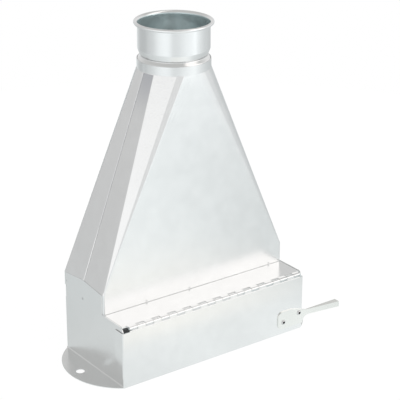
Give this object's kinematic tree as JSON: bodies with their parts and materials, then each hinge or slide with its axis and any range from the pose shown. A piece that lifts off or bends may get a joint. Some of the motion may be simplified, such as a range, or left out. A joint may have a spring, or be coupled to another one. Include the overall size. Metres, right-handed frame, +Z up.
{
  "type": "duct floor sweep",
  "caption": "Sheet steel floor sweep for a dust duct: a floor box with a hinged front door and foot lever under a square-to-round hood with a rolled-rim collar.",
  "frame": {"origin": "on the floor, midway between the two bolt holes of the ears", "axes": "+X to the right along the door as seen from the front, +Y to the back, +Z up the duct"},
  "size_m": [0.4069, 0.1623, 0.4585],
  "materials": {
    "left_end_plate": "zinc-coated, satin",
    "right_end_plate": "zinc-coated, satin",
    "back_panel": "zinc-coated, satin",
    "top_shelf": "zinc-coated, satin",
    "hood_front_shell": "zinc-coated, satin",
    "hood_back_shell": "zinc-coated, satin",
    "collar": "zinc-coated, satin",
    "hinge_fixed_leaf": "zinc-coated, satin",
    "hinge_pin": "zinc-coated, satin",
    "door": "zinc-coated, satin",
    "hinge_moving_leaf": "zinc-coated, satin",
    "lever": "zinc-coated, satin",
    "lever_rivets": "zinc-coated, satin"
  },
  "bodies": {
    "base": {"left_end_plate": "left_end_plate", "right_end_plate": "right_end_plate", "back_panel": "back_panel", "top_shelf": "top_shelf", "hood_front_shell": "hood_front_shell", "hood_back_shell": "hood_back_shell", "collar": "collar", "hinge_fixed_leaf": "hinge_fixed_leaf", "hinge_pin": "hinge_pin"},
    "door": {"door": "door", "hinge_moving_leaf": "hinge_moving_leaf", "lever": "lever", "lever_rivets": "lever_rivets"}
  },
  "joints": [
    {"name": "door_hinge", "type": "hinge", "parent": "base", "child": "door", "pos_m": [0, -0.0713, 0.0848], "axis": [-1, 0, 0], "range_deg": [0, 180]}
  ]
}
